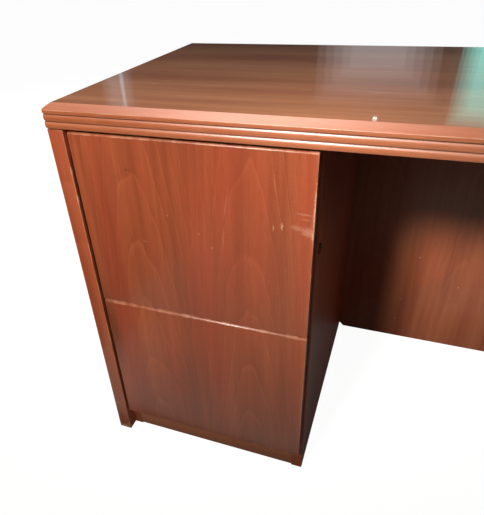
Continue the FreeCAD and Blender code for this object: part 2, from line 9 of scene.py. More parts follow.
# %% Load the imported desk
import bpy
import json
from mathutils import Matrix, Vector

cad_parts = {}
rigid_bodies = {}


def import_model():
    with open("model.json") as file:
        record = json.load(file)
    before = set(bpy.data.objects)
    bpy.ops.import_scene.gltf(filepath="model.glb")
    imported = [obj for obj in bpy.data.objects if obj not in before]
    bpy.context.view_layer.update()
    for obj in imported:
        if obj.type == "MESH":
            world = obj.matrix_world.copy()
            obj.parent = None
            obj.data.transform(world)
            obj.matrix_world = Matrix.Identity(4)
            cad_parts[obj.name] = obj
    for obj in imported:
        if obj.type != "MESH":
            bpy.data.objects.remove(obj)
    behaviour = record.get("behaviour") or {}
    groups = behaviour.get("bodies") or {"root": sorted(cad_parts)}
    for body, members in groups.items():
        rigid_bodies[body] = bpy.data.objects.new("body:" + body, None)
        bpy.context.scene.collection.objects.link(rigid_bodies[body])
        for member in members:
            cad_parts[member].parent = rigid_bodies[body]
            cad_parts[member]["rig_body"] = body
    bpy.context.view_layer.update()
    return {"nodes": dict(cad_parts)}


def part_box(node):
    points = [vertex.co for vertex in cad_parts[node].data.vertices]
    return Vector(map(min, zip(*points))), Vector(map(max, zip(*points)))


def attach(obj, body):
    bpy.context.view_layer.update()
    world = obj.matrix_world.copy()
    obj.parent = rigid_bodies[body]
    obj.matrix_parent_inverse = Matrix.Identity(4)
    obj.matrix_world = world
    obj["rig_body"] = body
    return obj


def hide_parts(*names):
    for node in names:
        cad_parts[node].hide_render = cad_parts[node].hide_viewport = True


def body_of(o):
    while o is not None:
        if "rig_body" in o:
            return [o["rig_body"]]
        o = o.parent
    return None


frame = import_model()

# %% [markdown]
# Real furniture is measured in millimetres and Blender works in metres, so one value turns the
# first into the second. Colours are written as they look on a screen, in sRGB hex, and one
# function turns them into the linear light that shaders reckon with.

# %% Units and colours
import json
import math

import bmesh
import bpy
from mathutils import Matrix, Vector

MM = 0.001


def linear(hex_colour):
    """An sRGB hex colour as linear red, green, blue and an alpha of one."""
    shares = [int(hex_colour[i:i + 2], 16) / 255 for i in (0, 2, 4)]
    return [s / 12.92 if s <= 0.04045 else ((s + 0.055) / 1.055) ** 2.4 for s in shares] + [1.0]


print("mid cherry in linear light:", [round(c, 3) for c in linear("a5502f")])

# %% [markdown]
# ## The camera
# The photograph was taken by someone who stands in the open corner and looks down at the free
# end of the return. Its place, its three angles and its focal length were worked out from the
# desk's own edges. The lens is a touch off centre, because the picture was cropped, and the
# shift sets that right without turning the camera.

# %% Set up the camera
image_width, image_height = 484, 515
focal_pixels = 482.67
centre_x, centre_y = 226.59, 279.93
sensor_mm = 36.0
yaw, pitch, roll = (math.radians(angle) for angle in (21.48, -34.35, -2.78))
camera_place = (-0.4591, -0.2641, 0.9300)

camera_data = bpy.data.cameras.new("camera")
camera_data.sensor_width = sensor_mm
camera_data.lens = focal_pixels * sensor_mm / image_height
camera_data.shift_x = (image_width / 2 - centre_x) / image_height
camera_data.shift_y = (centre_y - image_height / 2) / image_height
camera = bpy.data.objects.new("camera", camera_data)
turn = Matrix.Rotation(yaw, 4, "Z") @ Matrix.Rotation(math.pi / 2 + pitch, 4, "X")
camera.matrix_world = Matrix.Translation(camera_place) @ turn @ Matrix.Rotation(roll, 4, "Z")
bpy.context.scene.collection.objects.link(camera)
bpy.context.scene.camera = camera
print("lens in mm:", round(camera_data.lens, 2))

# %% [markdown]
# ## Nodes
# Every finish here is drawn by nodes. One small function adds a node, sets what is special about
# it, and feeds its inputs with numbers or with the outputs of other nodes. The settings of the
# sums that come back most have names. A Map Range node is fed by number: the value, the range it
# comes in, and the range it goes out in.

# %% A function that adds a node
def add(tree, kind, settings=None, feeds=None):
    """A node with its settings; each feed is a number, a colour or another node's output."""
    made = tree.nodes.new("ShaderNode" + kind)
    for name, value in (settings or {}).items():
        setattr(made, name, value)
    for socket, value in (feeds or {}).items():
        if isinstance(value, bpy.types.NodeSocket):
            tree.links.new(value, made.inputs[socket])
        else:
            made.inputs[socket].default_value = value
    return made.outputs


PLUS, TIMES, TIMES_PLUS, GREATER = (
    {"operation": operation} for operation in ("ADD", "MULTIPLY", "MULTIPLY_ADD", "MAXIMUM"))
MIX_FACTOR, MIX_A, MIX_B, MIX_OUT = 0, 6, 7, 2


def overlay(tree, factor, base, top):
    """The base colour with the top colour over it, as much as the factor says."""
    feeds = {MIX_FACTOR: factor, MIX_A: base, MIX_B: top}
    return add(tree, "Mix", {"data_type": "RGBA"}, feeds)[MIX_OUT]


def empty_tree(owner):
    """The owner's node tree, with nothing in it yet."""
    owner.use_nodes = True
    owner.node_tree.nodes.clear()
    return owner.node_tree


# %% [markdown]
# ## Studio
# The desk stands on a plain pale floor in a white studio. The camera sees floor and walls at
# nearly white, but the floor gives little light back, so the foot of the desk stays as dim as in
# a real room. The world does several jobs as well. It is white to the camera. The wood gets a weak
# fill from it, stronger from the sides than from above. Lacquer and metal mirror it as a room that
# is dark at the sides and pale overhead.

# %% Show colours as they are
bpy.context.scene.view_settings.view_transform = "Standard"
print("view:", bpy.context.scene.view_settings.view_transform)

# %% Lay the floor
floor_reach = 30.0
floor_glow = 0.96
mirrored_floor = 0.04
floor_mesh = bmesh.new()
bmesh.ops.create_grid(floor_mesh, x_segments=1, y_segments=1, size=floor_reach)
floor_data = bpy.data.meshes.new("floor")
floor_mesh.to_mesh(floor_data)
floor_mesh.free()
floor = bpy.data.objects.new("floor", floor_data)
bpy.context.scene.collection.objects.link(floor)

pale_floor = bpy.data.materials.new("pale_studio_floor")
tree = empty_tree(pale_floor)
path = add(tree, "LightPath")
straight = add(tree, "Math", GREATER, {0: path["Is Camera Ray"], 1: path["Is Transmission Ray"]})
mirrored = add(tree, "Math", TIMES, {0: path["Is Glossy Ray"], 1: mirrored_floor})
seen = add(tree, "Math", GREATER, {0: straight[0], 1: mirrored[0]})
matt = add(tree, "BsdfDiffuse", feeds={"Color": linear("7a7876")})
glow_strength = add(tree, "Math", TIMES, {0: seen[0], 1: floor_glow})
glow = add(tree, "Emission", feeds={"Strength": glow_strength[0]})
both = add(tree, "AddShader", feeds={0: matt[0], 1: glow[0]})
add(tree, "OutputMaterial", feeds={"Surface": both[0]})
floor_data.materials.append(pale_floor)
print("floor reaches", floor_reach, "m each way")

# %% Fill the studio with soft light
fill_at_horizon, fill_above, fill_top = 0.24, 0.07, 0.5
mirrored_side, mirrored_ceiling = 0.02, 0.5
wall_foot, wall_head = 0.1, 0.75
world = bpy.data.worlds.new("white_studio")
bpy.context.scene.world = world
tree = empty_tree(world)
path = add(tree, "LightPath")
upward = add(tree, "SeparateXYZ", feeds={0: add(tree, "TexCoord")["Generated"]})["Z"]
room = add(tree, "MapRange", {"interpolation_type": "SMOOTHSTEP"},
           {0: upward, 1: wall_foot, 2: wall_head, 3: mirrored_side, 4: mirrored_ceiling})
mirrored = add(tree, "Math", TIMES, {0: path["Is Glossy Ray"], 1: room[0]})
straight = add(tree, "Math", GREATER, {0: path["Is Camera Ray"], 1: path["Is Transmission Ray"]})
shown = add(tree, "Math", GREATER, {0: straight[0], 1: mirrored[0]})
fill = add(tree, "MapRange",
           feeds={0: upward, 1: 0.0, 2: fill_top, 3: fill_at_horizon, 4: fill_above})
diffuse = add(tree, "Math", TIMES, {0: path["Is Diffuse Ray"], 1: fill[0]})
strength = add(tree, "Math", GREATER, {0: shown[0], 1: diffuse[0]})
tint = overlay(tree, path["Is Diffuse Ray"], linear("ffffff"), linear("eefcf6"))
sky = add(tree, "Background", feeds={"Color": tint, "Strength": strength[0]})
add(tree, "OutputWorld", feeds={"Surface": sky[0]})
print("fill at the horizon and above:", fill_at_horizon, fill_above)

# %% [markdown]
# One soft lamp does the modelling. In the photograph the kneehole's shadow shows where it hangs:
# well in front of the drawers, to the left, at the height of a tall person. A squashed beam lets
# it fade towards the floor. A narrow lamp at the same place adds the pool of light on the modesty
# panel, so its shadow has the same edge. The third lamp lights the other run, which the
# photograph doesn't show, and nothing mirrors it.

# %% Hang the lamps
def hang(lamp, place, aim, lights_wood=True, is_mirrored=True):
    """Hangs a lamp at a place and points it at its aim; what it does is set by the last two."""
    holder = bpy.data.objects.new(lamp.name, lamp)
    holder.location = place
    holder.rotation_euler = (Vector(aim) - Vector(place)).to_track_quat("-Z", "Y").to_euler()
    holder.visible_camera = False
    holder.visible_diffuse = lights_wood
    holder.visible_glossy = is_mirrored
    bpy.context.scene.collection.objects.link(holder)
    return holder


key_place = (-1.036, -1.15, 1.777)
warm_white, plain_white = (1.0, 0.97, 0.93), (1.0, 1.0, 1.0)
lamps = {
    # name: place, aim, watts, beam in degrees, size, colour, squash of the beam
    "key_lamp": (key_place, (-0.93, 0.35, 0.6), 195.0, 58, 0.19, warm_white, (1, 0.465, 1)),
    "kneehole_lamp": (key_place, (-0.345, 0.875, 0.3), 175.0, 14, 0.19, warm_white, (1, 1, 1)),
    "desk_lamp": ((0.66, -0.25, 2.9), (0.66, -0.25, 0.75), 95.0, 50, 0.3, plain_white, (0.5, 1, 1)),
}
for name, (place, aim, watts, beam, size, colour, squash) in lamps.items():
    lamp = bpy.data.lights.new(name, "SPOT")
    lamp.energy = watts
    lamp.spot_size = math.radians(beam)
    lamp.spot_blend = 1.0
    lamp.shadow_soft_size = size
    lamp.color = colour
    hang(lamp, place, aim, is_mirrored=name != "desk_lamp").scale = squash
print("lamps:", ", ".join(lamps))

# %% [markdown]
# Panels do the rest. Four low fill panels light the sides and backs of the desk, and nothing
# mirrors them. Two weak soft panels light it from above and from the front. The others light no
# wood and are only there to be mirrored: the polished top shows a wall, a green-blue window, a
# doorway and a bulb, the moulding shows a ceiling light and the room, and upright faces show the
# floor. Where the photograph shows a blurred edge, a panel is a stack of weaker ones, each a
# little larger than the last.

# %% Stand the panels
soft_white, sea_green, floor_green = (1.0, 0.99, 0.96), (0.3, 1.0, 0.86), (0.9, 1, 0.9)
panels = {
    # name: place, aim, width, height, radiance, colour
    "overhead_panel": ((0.3, -0.2, 3.3), (0.3, -0.1, 0.0), 2.4, 2.4, 0.2, (0.95, 1.0, 0.98)),
    "fill_behind": ((0.6, 4.0, 0.45), (0.2, 0.5, 0.4), 2.6, 0.8, 13.0, soft_white),
    "fill_at_left": ((-4.2, 1.4, 0.45), (-0.5, 0.6, 0.4), 1.9, 0.8, 11.0, soft_white),
    "fill_at_right": ((4.4, 1.4, 0.45), (0.9, 0.3, 0.4), 1.9, 0.8, 14.0, soft_white),
    "fill_in_front": ((2.8, -3.2, 0.4), (0.7, -0.9, 0.4), 1.6, 0.65, 15.0, soft_white),
    "front_panel": ((-0.2, -0.6, 2.7), (-0.3, 0.4, 0.7), 1.2, 1.2, 0.55, (1, 0.96, 0.9)),
    "mirrored_wall": ((-0.8, 4.4, 1.27), (-0.55, 0.7, 0.75), 0.75, 0.7, 0.42, (0.98, 0.93, 0.96)),
    "mirrored_window": ((0.46, 4.4, 1.52), (-0.35, 0.6, 0.75), 1.1, 0.74, 1.22, sea_green),
    "mirrored_doorway": ((-3.43, 4.4, 1.58), (-0.9, 0.5, 0.75), 0.24, 0.8, 0.26, (0.8, 0.95, 1.0)),
    "mirrored_door_frame": ((-3.36, 4.38, 1.58), (-0.9, 0.5, 0.75), 0.035, 0.8, 0.5, (0.7, 0.85, 1)),
    "mirrored_bulb": ((-0.76, 4.4, 1.9), (-0.5, 0.38, 0.75), 0.035, 0.02, 5.5, plain_white),
    "mirrored_ceiling_light": ((-1.4, 0.75, 3.2), (-0.7, 0.35, 0.745), 2.2, 1.2, 6.0, (0.92, 1, 1)),
    "mirrored_room": ((0.6, -3.2, 1.7), (-0.2, 0.35, 0.73), 2.2, 1.7, 1.5, (1, 0.95, 0.92)),
    "mirrored_floor_in_front": ((-0.5, -0.4, 0.01), (-0.5, -0.4, 1.0), 1.4, 1.45, 0.45, floor_green),
    "mirrored_floor_in_kneehole": ((-0.05, 0.6, 0.01), (-0.05, 0.6, 1.0), 0.6, 0.4, 0.4, floor_green),
}
soft_edged = {"mirrored_ceiling_light": 0.5, "mirrored_room": 0.9, "mirrored_wall": 0.3,
              "mirrored_window": 0.16, "mirrored_doorway": 0.09}
edge_steps, layer_gap = 5, 0.03
for name, (place, aim, width, height, radiance, colour) in panels.items():
    blur = soft_edged.get(name, 0.0)
    layers = edge_steps if blur else 1
    for layer in range(layers):
        grown = blur * (2 * layer / (edge_steps - 1) - 1)
        lamp = bpy.data.lights.new(name, "AREA")
        lamp.shape = "RECTANGLE"
        lamp.size, lamp.size_y = width + grown, height + grown
        lamp.energy = radiance * math.pi * lamp.size * lamp.size_y / layers
        lamp.color = colour
        away = (Vector(place) - Vector(aim)).normalized() * layer * layer_gap
        hang(lamp, Vector(place) + away, aim, lights_wood=not name.startswith("mirrored"),
             is_mirrored=not name.startswith("fill"))
print("panels:", ", ".join(panels))

# %% [markdown]
# ## Finishes
# ### Cherry
# All the wood that shows is American cherry, stained a warm red-brown and sprayed with satin
# lacquer. Veneer is sliced flat from the log, so each leaf shows growth rings that close in tall
# arches, and long straight streaks beside them. An image of wood would show the same leaf again
# and again. The rings are real rings here: distance from the heart of the log, measured in a log
# that tapers, gives the arches by itself.

# %% How the grain runs
X, Y, Z = 0, 1, 2


def stretched(along, wide_mm, long_mm):
    """Scales that draw a pattern wide_mm across the grain and long_mm along it."""
    scale = [1 / (wide_mm * MM)] * 3
    scale[along] = 1 / (long_mm * MM)
    return scale


def drift(tree, along, wide_mm, long_mm, detail=2.0, start=0.0):
    """Soft irregular variation between 0 and 1, longer along the grain than across."""
    place = add(tree, "TexCoord")["Object"]
    laid = add(tree, "Mapping", feeds={0: place, 1: (start, start, start),
                                       3: stretched(along, wide_mm, long_mm)})
    return add(tree, "TexNoise", feeds={"Vector": laid[0], "Scale": 1.0, "Detail": detail})[0]


# %% Growth rings, leaf by leaf
ring_spacing = 7.0 * MM
log_taper = 0.055
heart_depth = 92.2 * MM
sway_reach, wander_reach = 30 * MM, 6 * MM
leaf_shift = 0.4 * ring_spacing
SWAY, WANDER = (110, 700), (40, 170)


def growth_rings(tree, across, along, leaf_width, leaf_start):
    """A ramp of 0 to 1 through each ring, and a number of its own for each leaf of veneer."""
    place = add(tree, "SeparateXYZ", feeds={0: add(tree, "TexCoord")["Object"]})
    leaf = add(tree, "Math", {"operation": "SUBTRACT"}, {0: place[across], 1: leaf_start})
    leaf = add(tree, "Math", {"operation": "DIVIDE"}, {0: leaf[0], 1: leaf_width})
    number = add(tree, "Math", {"operation": "FLOOR"}, {0: leaf[0]})
    own = add(tree, "TexWhiteNoise", {"noise_dimensions": "1D"}, {"W": number[0]})[0]
    inside = add(tree, "Math", {"operation": "FRACT"}, {0: leaf[0]})
    aside = add(tree, "Math", TIMES_PLUS, {0: inside[0], 1: leaf_width, 2: -leaf_width / 2})
    sway = add(tree, "Math", TIMES_PLUS,
               {0: drift(tree, along, *SWAY), 1: sway_reach, 2: -sway_reach / 2})
    aside = add(tree, "Math", PLUS, {0: aside[0], 1: sway[0]})
    deep = add(tree, "Math", TIMES_PLUS, {0: place[along], 1: log_taper, 2: heart_depth})
    wander = add(tree, "Math", TIMES, {0: drift(tree, along, *WANDER), 1: wander_reach})
    deep = add(tree, "Math", PLUS, {0: deep[0], 1: wander[0]})
    deep = add(tree, "Math", TIMES_PLUS, {0: own, 1: leaf_shift, 2: deep[0]})
    flat = add(tree, "CombineXYZ", feeds={0: aside[0], 1: deep[0]})
    radius = add(tree, "VectorMath", {"operation": "LENGTH"}, {0: flat[0]})["Value"]
    turns = add(tree, "Math", {"operation": "DIVIDE"}, {0: radius, 1: ring_spacing})
    return add(tree, "Math", {"operation": "FRACT"}, {0: turns[0]})[0], own


print("an arch grows by one ring every", round(ring_spacing / log_taper / MM), "mm")

# %% [markdown]
# One finish function makes every cherry surface. It lays the rings, streaks and slow colour drift
# over each other, and turns the sum into stain colours with a ramp. Pores are far too fine to
# show at this size, so they are drawn as coarse dashes. Arrises show paler wood, which is wear
# and a painted highlight: the models mark their arrises with an attribute, and noise breaks the
# mark up. Grooves are marked too, and painted darker as shade. Bruises and scuffs are listed by
# place and size; some pale marks are painted highlights, and one broad dark band is painted
# shade. To the eye, satin lacquer is a soft sheen on the panels. The tops were polished, and
# mirror the room.

# %% Stain a tone
def stain(tree, stops, tone):
    """A colour ramp from dark stain to light, read at the tone."""
    ramp = add(tree, "ValToRGB", feeds={0: tone})
    band = ramp["Color"].node.color_ramp
    band.elements[0].position, band.elements[0].color = stops[0][0], linear(stops[0][1])
    band.elements[1].position, band.elements[1].color = stops[-1][0], linear(stops[-1][1])
    for position, colour in stops[1:-1]:
        band.elements.new(position).color = linear(colour)
    return ramp["Color"]


# %% Bruises, scuffs, painted highlights and painted shade
ragged_grain = 420.0
ragged_reach = 1.6
clear_share = 0.3


def mark_mask(tree, marks):
    """1 inside each listed mark and 0 outside: place and size in mm, and a turn in degrees."""
    place = add(tree, "TexCoord")["Object"]
    rough = add(tree, "TexNoise", feeds={"Vector": place, "Scale": ragged_grain, "Detail": 3.0})[0]
    total = None
    for centre, size, angle, strength in marks:
        feeds = {0: place, 1: [c * MM for c in centre], 2: (0.0, math.radians(angle), 0.0),
                 3: [s * MM for s in size]}
        local = add(tree, "Mapping", {"vector_type": "TEXTURE"}, feeds)
        far = add(tree, "VectorMath", {"operation": "LENGTH"}, {0: local[0]})["Value"]
        uneven = add(tree, "Math", TIMES_PLUS, {0: rough, 1: ragged_reach, 2: -ragged_reach / 2})
        far = add(tree, "Math", PLUS, {0: far, 1: uneven[0]})
        near = add(tree, "MapRange", {"interpolation_type": "SMOOTHSTEP"},
                   {0: far[0], 1: clear_share, 2: 1.0, 3: strength, 4: 0.0})
        total = near[0] if total is None else add(tree, "Math", GREATER, {0: total, 1: near[0]})[0]
    return total


# %% The cherry finish
ring_stops = ((0.0, "565656"), (0.25, "747474"), (0.86, "888888"), (0.95, "b0b0b0"), (1.0, "6c6c6c"))
stop_places = (0.18, 0.36, 0.5, 0.64, 0.86)
front_stain = tuple(zip(stop_places, ("6f3119", "8f4426", "a75433", "b5633f", "cb8258")))
panel_stain = tuple(zip(stop_places, ("70361f", "8d4a2f", "a65c3c", "b46b49", "ca8a62")))
top_stain = tuple(zip(stop_places, ("8c5030", "b46c43", "d0875a", "dc9b6f", "e6af84")))
solid_stain = tuple(zip(stop_places, ("893f22", "a2542f", "b46943", "c17954", "d09370")))
red_flush, worn_and_lit_wood, groove_painted_shade, scuff_and_highlight_pale, bruise_and_shade_dark = (
    linear(colour) for colour in ("a3402a", "c98f6c", "4e2716", "d9a889", "4a2416"))

# Patterns: how wide and how long in mm, how much detail, and where the noise starts
BROAD_FIGURE, STREAKS, FINE_GRAIN = (75, 520, 1.0, 7.0), (13, 420, 3.0), (1.6, 60, 2.0)
RED_BANDS, PORES, WEAR_AND_HIGHLIGHT, LACQUER_PEEL = (
    (46, 600, 1.0, 11.0), (1.1, 16, 2.0, 3.0), (16, 40, 2.0, 5.0), (5, 9, 1.0, 4.0))
figure_share, streak_share, grain_share, leaf_share = 0.44, 0.26, 0.08, 0.06
pore_depth, groove_shade_depth = 0.38, 0.75
least_wear_and_highlight, most_wear_and_highlight = 0.1, 0.7
grain_relief, peel_relief, relief_depth = 0.12, 0.02, 0.4 * MM


def cherry(name, across, along, stops=front_stain, leaf_width=0.1935, leaf_start=-0.9543,
           rings=0.27, flush=0.36, roughness=0.34, sheen=0.5, coat=0.1, coat_roughness=0.12,
           scuffs_and_highlights=(), bruises_and_shade=()):
    """Lacquered cherry whose grain runs along one axis and whose leaves lie across another."""
    material = bpy.data.materials.new(name)
    tree = empty_tree(material)
    ring, own = growth_rings(tree, across, along, leaf_width, leaf_start)
    ring = stain(tree, ring_stops, ring)
    tone = add(tree, "Math", TIMES, {0: ring, 1: rings})[0]
    broad = drift(tree, along, *BROAD_FIGURE)
    streaks = drift(tree, along, *STREAKS)
    fine = drift(tree, along, *FINE_GRAIN)
    layers = ((broad, figure_share), (streaks, streak_share), (fine, grain_share), (own, leaf_share))
    for value, share in layers:
        tone = add(tree, "Math", TIMES_PLUS, {0: value, 1: share, 2: tone})[0]
    centred = 0.5 - 0.5 * rings - sum(share for value, share in layers) / 2
    tone = add(tree, "Math", PLUS, {0: tone, 1: centred})[0]
    colour = stain(tree, stops, tone)
    redder = add(tree, "MapRange", feeds={0: drift(tree, along, *RED_BANDS), 1: 0.45, 2: 0.68,
                                          3: 0.0, 4: flush})[0]
    colour = overlay(tree, redder, colour, red_flush)
    pores = add(tree, "MapRange", feeds={0: drift(tree, along, *PORES), 1: 0.58, 2: 0.72,
                                         3: 0.0, 4: pore_depth})[0]
    colour = overlay(tree, pores, colour, linear(stops[0][1]))
    # Paler wood on the arrises: wear, and a painted highlight along them.
    arris = add(tree, "Attribute", {"attribute_name": "arris"})["Fac"]
    broken = add(tree, "MapRange", feeds={0: drift(tree, along, *WEAR_AND_HIGHLIGHT), 1: 0.4, 2: 0.64,
                                          3: least_wear_and_highlight, 4: most_wear_and_highlight})[0]
    rubbed_and_lit = add(tree, "Math", TIMES, {0: arris, 1: broken})[0]
    colour = overlay(tree, rubbed_and_lit, colour, worn_and_lit_wood)
    # Grooves are painted darker: painted shade deep between the reeds.
    groove = add(tree, "Attribute", {"attribute_name": "groove"})["Fac"]
    groove_shade = add(tree, "Math", TIMES, {0: groove, 1: groove_shade_depth})[0]
    colour = overlay(tree, groove_shade, colour, groove_painted_shade)
    # Pale marks: scuffs, and painted highlights on the lower front's bottom edge.
    if scuffs_and_highlights:
        colour = overlay(tree, mark_mask(tree, scuffs_and_highlights), colour, scuff_and_highlight_pale)
    # Dark marks: bruises, and one broad band of painted shade on the fronts.
    if bruises_and_shade:
        colour = overlay(tree, mark_mask(tree, bruises_and_shade), colour, bruise_and_shade_dark)
    gloss = add(tree, "MapRange", feeds={0: streaks, 3: roughness - 0.05, 4: roughness + 0.07})[0]
    relief = add(tree, "Bump", feeds={"Strength": grain_relief, "Distance": relief_depth,
                                      "Height": fine})[0]
    peel = add(tree, "Bump", feeds={"Strength": peel_relief, "Distance": relief_depth,
                                    "Height": drift(tree, along, *LACQUER_PEEL)})[0]
    lacquer = add(tree, "BsdfPrincipled", feeds={
        "Base Color": colour, "Roughness": gloss, "Normal": relief, "IOR": 1.45,
        "Specular IOR Level": sheen, "Coat Weight": coat, "Coat Roughness": coat_roughness,
        "Coat Normal": peel})
    add(tree, "OutputMaterial", feeds={"Surface": lacquer[0]})
    return material


print("pores drawn", PORES[0], "mm wide and", PORES[1], "mm long")

# %% Where the wood is marked
front_scuffs_and_highlights = (
    # centre, size across, deep and up, turn, strength
    ((-622.5, 350, 587.5), (1.7, 30, 6.0), 0, 0.4), ((-609.5, 350, 591.8), (2.2, 30, 8.0), 0, 0.65),
    ((-588, 350, 592), (13, 30, 6.0), 6, 0.22), ((-570, 350, 587), (15, 30, 10), 8, 0.3),
    ((-577, 350, 615), (17, 30, 2.4), 3, 0.2), ((-574, 350, 607), (13, 30, 2.0), 3, 0.12),
    ((-562, 350, 614), (2.8, 30, 60), 0, 0.8), ((-563, 350, 582), (4.0, 30, 12), 0, 0.6),
    ((-744, 350, 559), (1.6, 30, 1.6), 0, 0.35), ((-723, 350, 536), (1.6, 30, 2.6), 0, 0.35),
    ((-797.5, 350, 584), (1.8, 30, 1.6), 0, 0.28), ((-845, 350, 530), (7, 30, 1.6), 8, 0.16),
    ((-697, 350, 612), (1.8, 30, 30), 10, 0.12), ((-621, 350, 655), (1.8, 30, 22), -8, 0.1),
    # The three pale marks 68 mm up, at the end of this line and on the next, are painted highlights
    # along the lower front's bottom edge.
    ((-703, 350, 555), (1.7, 30, 24), 5, 0.1), ((-655, 350, 68), (7, 30, 1.8), 0, 0.7),
    ((-622, 350, 68), (6, 30, 1.6), 0, 0.6), ((-590, 350, 68), (6, 30, 1.8), 0, 0.6),
    ((-562, 350, 200), (1.6, 30, 130), 0, 0.5),
)
front_bruises_and_shade = (
    ((-681, 350, 80.5), (9, 30, 1.8), 14, 0.85), ((-666, 350, 76), (7, 30, 1.4), 12, 0.8),
    ((-569, 350, 74), (6, 30, 2.6), 0, 0.7), ((-755, 350, 124), (10, 30, 2.2), 6, 0.4),
    ((-858, 350, 655), (8, 30, 3.4), 0, 0.35), ((-742, 350, 118), (6, 30, 1.6), 10, 0.35),
    ((-950, 350, 300), (26, 60, 130), 0, 0.46), ((-790, 350, 190), (60, 60, 130), 0, 0.16),
    # The first mark on this line is a tall band of painted shade, where the lamp's light falls off at
    # the right of the fronts.
    ((-606, 350, 400), (42, 60, 420), 0, 0.2), ((-898, 350, 610), (26, 60, 120), 0, 0.12),
)
panel_scuffs = (
    ((-960.5, 346, 643), (2.6, 8, 9), 0, 0.8), ((-961, 346, 594), (2.4, 8, 11), 0, 0.8),
    ((-980, 345, 86), (5, 8, 1.8), 14, 0.8), ((-976, 345, 6), (24, 14, 10), 0, 0.95),
    ((-964, 345, 15), (4, 12, 12), 0, 0.5), ((-988, 345, 12), (3, 12, 14), 0, 0.6),
)
modesty_scuffs = (
    ((-377.5, 874.5, 266), (2.4, 30, 2.4), 0, 0.8), ((-273, 874.5, 193), (2.2, 30, 2.2), 0, 0.7),
    ((-402, 874.5, 130), (2.0, 30, 3.0), 0, 0.5), ((-409, 874.5, 62), (2.2, 30, 2.6), 0, 0.6),
)
# Drawer fronts: warm red-brown in tall arches that run on from the lower front to the upper
return_front_cherry = cherry("cherry_veneer_return_fronts", X, Z, scuffs_and_highlights=front_scuffs_and_highlights,
                             bruises_and_shade=front_bruises_and_shade)
desk_front_cherry = cherry("cherry_veneer_desk_fronts", Y, Z, leaf_start=-0.886)
# Panels: the same wood with quieter rings, so that the fronts stand out from them
panel_cherry_x = cherry("cherry_veneer_panels_facing_y", X, Z, panel_stain, scuffs_and_highlights=modesty_scuffs,
                        rings=0.15, flush=0.18)
panel_cherry_y = cherry("cherry_veneer_panels_facing_x", Y, Z, scuffs_and_highlights=panel_scuffs,
                        rings=0.18, flush=0.25)
# Tops: paler, under a coat so smooth that a window shows in it
polish = {"roughness": 0.3, "sheen": 0.1, "coat": 1.0, "coat_roughness": 0.035,
          "rings": 0.22, "flush": 0.2}
return_top_cherry = cherry("cherry_veneer_return_top", Y, X, top_stain, **polish)
desk_top_cherry = cherry("cherry_veneer_desk_top", X, Y, top_stain, **polish)
# Mouldings and base rails: solid wood of one even tone, so that only their shape draws lines
even = {"rings": 0.14, "flush": 0.06, "sheen": 1.0}
solid_cherry_x = cherry("solid_cherry_along_x", Y, X, solid_stain, **even)
solid_cherry_y = cherry("solid_cherry_along_y", X, Y, solid_stain, **even)
print("cherry finishes: 8")

# %% [markdown]
# ### Plain finishes
# The other finishes are quieter, yet none is a flat colour. Each is a base colour that drifts a
# little, with a roughness and a bump that drift too.

# %% A quiet finish
drift_low, drift_high = 0.3, 0.7
gloss_spread = 0.06
plain_bump, plain_relief = 0.1, 0.3 * MM
grain_stretch = 14


def plain(name, dark, light, grain_mm, roughness, metallic=0.0, along=None):
    """A base colour that drifts between two tones, on grain of one size."""
    material = bpy.data.materials.new(name)
    tree = empty_tree(material)
    axis, stretch = (Z, 1) if along is None else (along, grain_stretch)
    value = drift(tree, axis, grain_mm, grain_mm * stretch, 4.0)
    colour = stain(tree, ((drift_low, dark), (drift_high, light)), value)
    gloss = add(tree, "MapRange", feeds={0: value, 1: drift_low, 2: drift_high,
                                         3: roughness - gloss_spread, 4: roughness + gloss_spread})
    relief = add(tree, "Bump", feeds={"Strength": plain_bump, "Distance": plain_relief,
                                      "Height": value})
    skin = add(tree, "BsdfPrincipled", feeds={
        "Base Color": colour, "Roughness": gloss[0], "Metallic": metallic, "Normal": relief[0]})
    add(tree, "OutputMaterial", feeds={"Surface": skin[0]})
    return material


# Inside the pedestals: dull brown boards that stay in the background
case_board = plain("lacquered_case_board", "9b6a46", "ad7c55", 3.0, 0.5, along=Z)
# Drawer boxes: pale wood, so that an open drawer looks light and clean
maple_ply_x = plain("maple_ply_along_x", "cfa878", "dfbf92", 4.0, 0.42, along=X)
maple_ply_y = plain("maple_ply_along_y", "cfa878", "dfbf92", 4.0, 0.42, along=Y)
# Slides, screws and plates: cool grey metal with soft, cloudy highlights
zinc_steel = plain("zinc_plated_steel", "a9adb0", "c6cacc", 9.0, 0.34, metallic=1.0)
# Locks: metal nearly as dark as their holes, with the plug a little darker still
lock_bronze = plain("dark_bronze_lock", "2e1a12", "3e251a", 2.0, 0.38, metallic=1.0)
plug_bronze = plain("dark_bronze_plug", "25150f", "35201a", 2.0, 0.32, metallic=1.0)
# Spacers: dull black paint, which also paints the shade in the reveal, so that the tops seem to float
# on a dark line
spacer_black_as_shade = plain("black_spacer_and_painted_shade", "0d0a09", "191412", 6.0, 0.6)
# Glides: dull grey feet that hardly show
glide_nylon = plain("grey_nylon_glide", "8a857d", "9d978e", 2.0, 0.5)
print("plain finishes: 8")

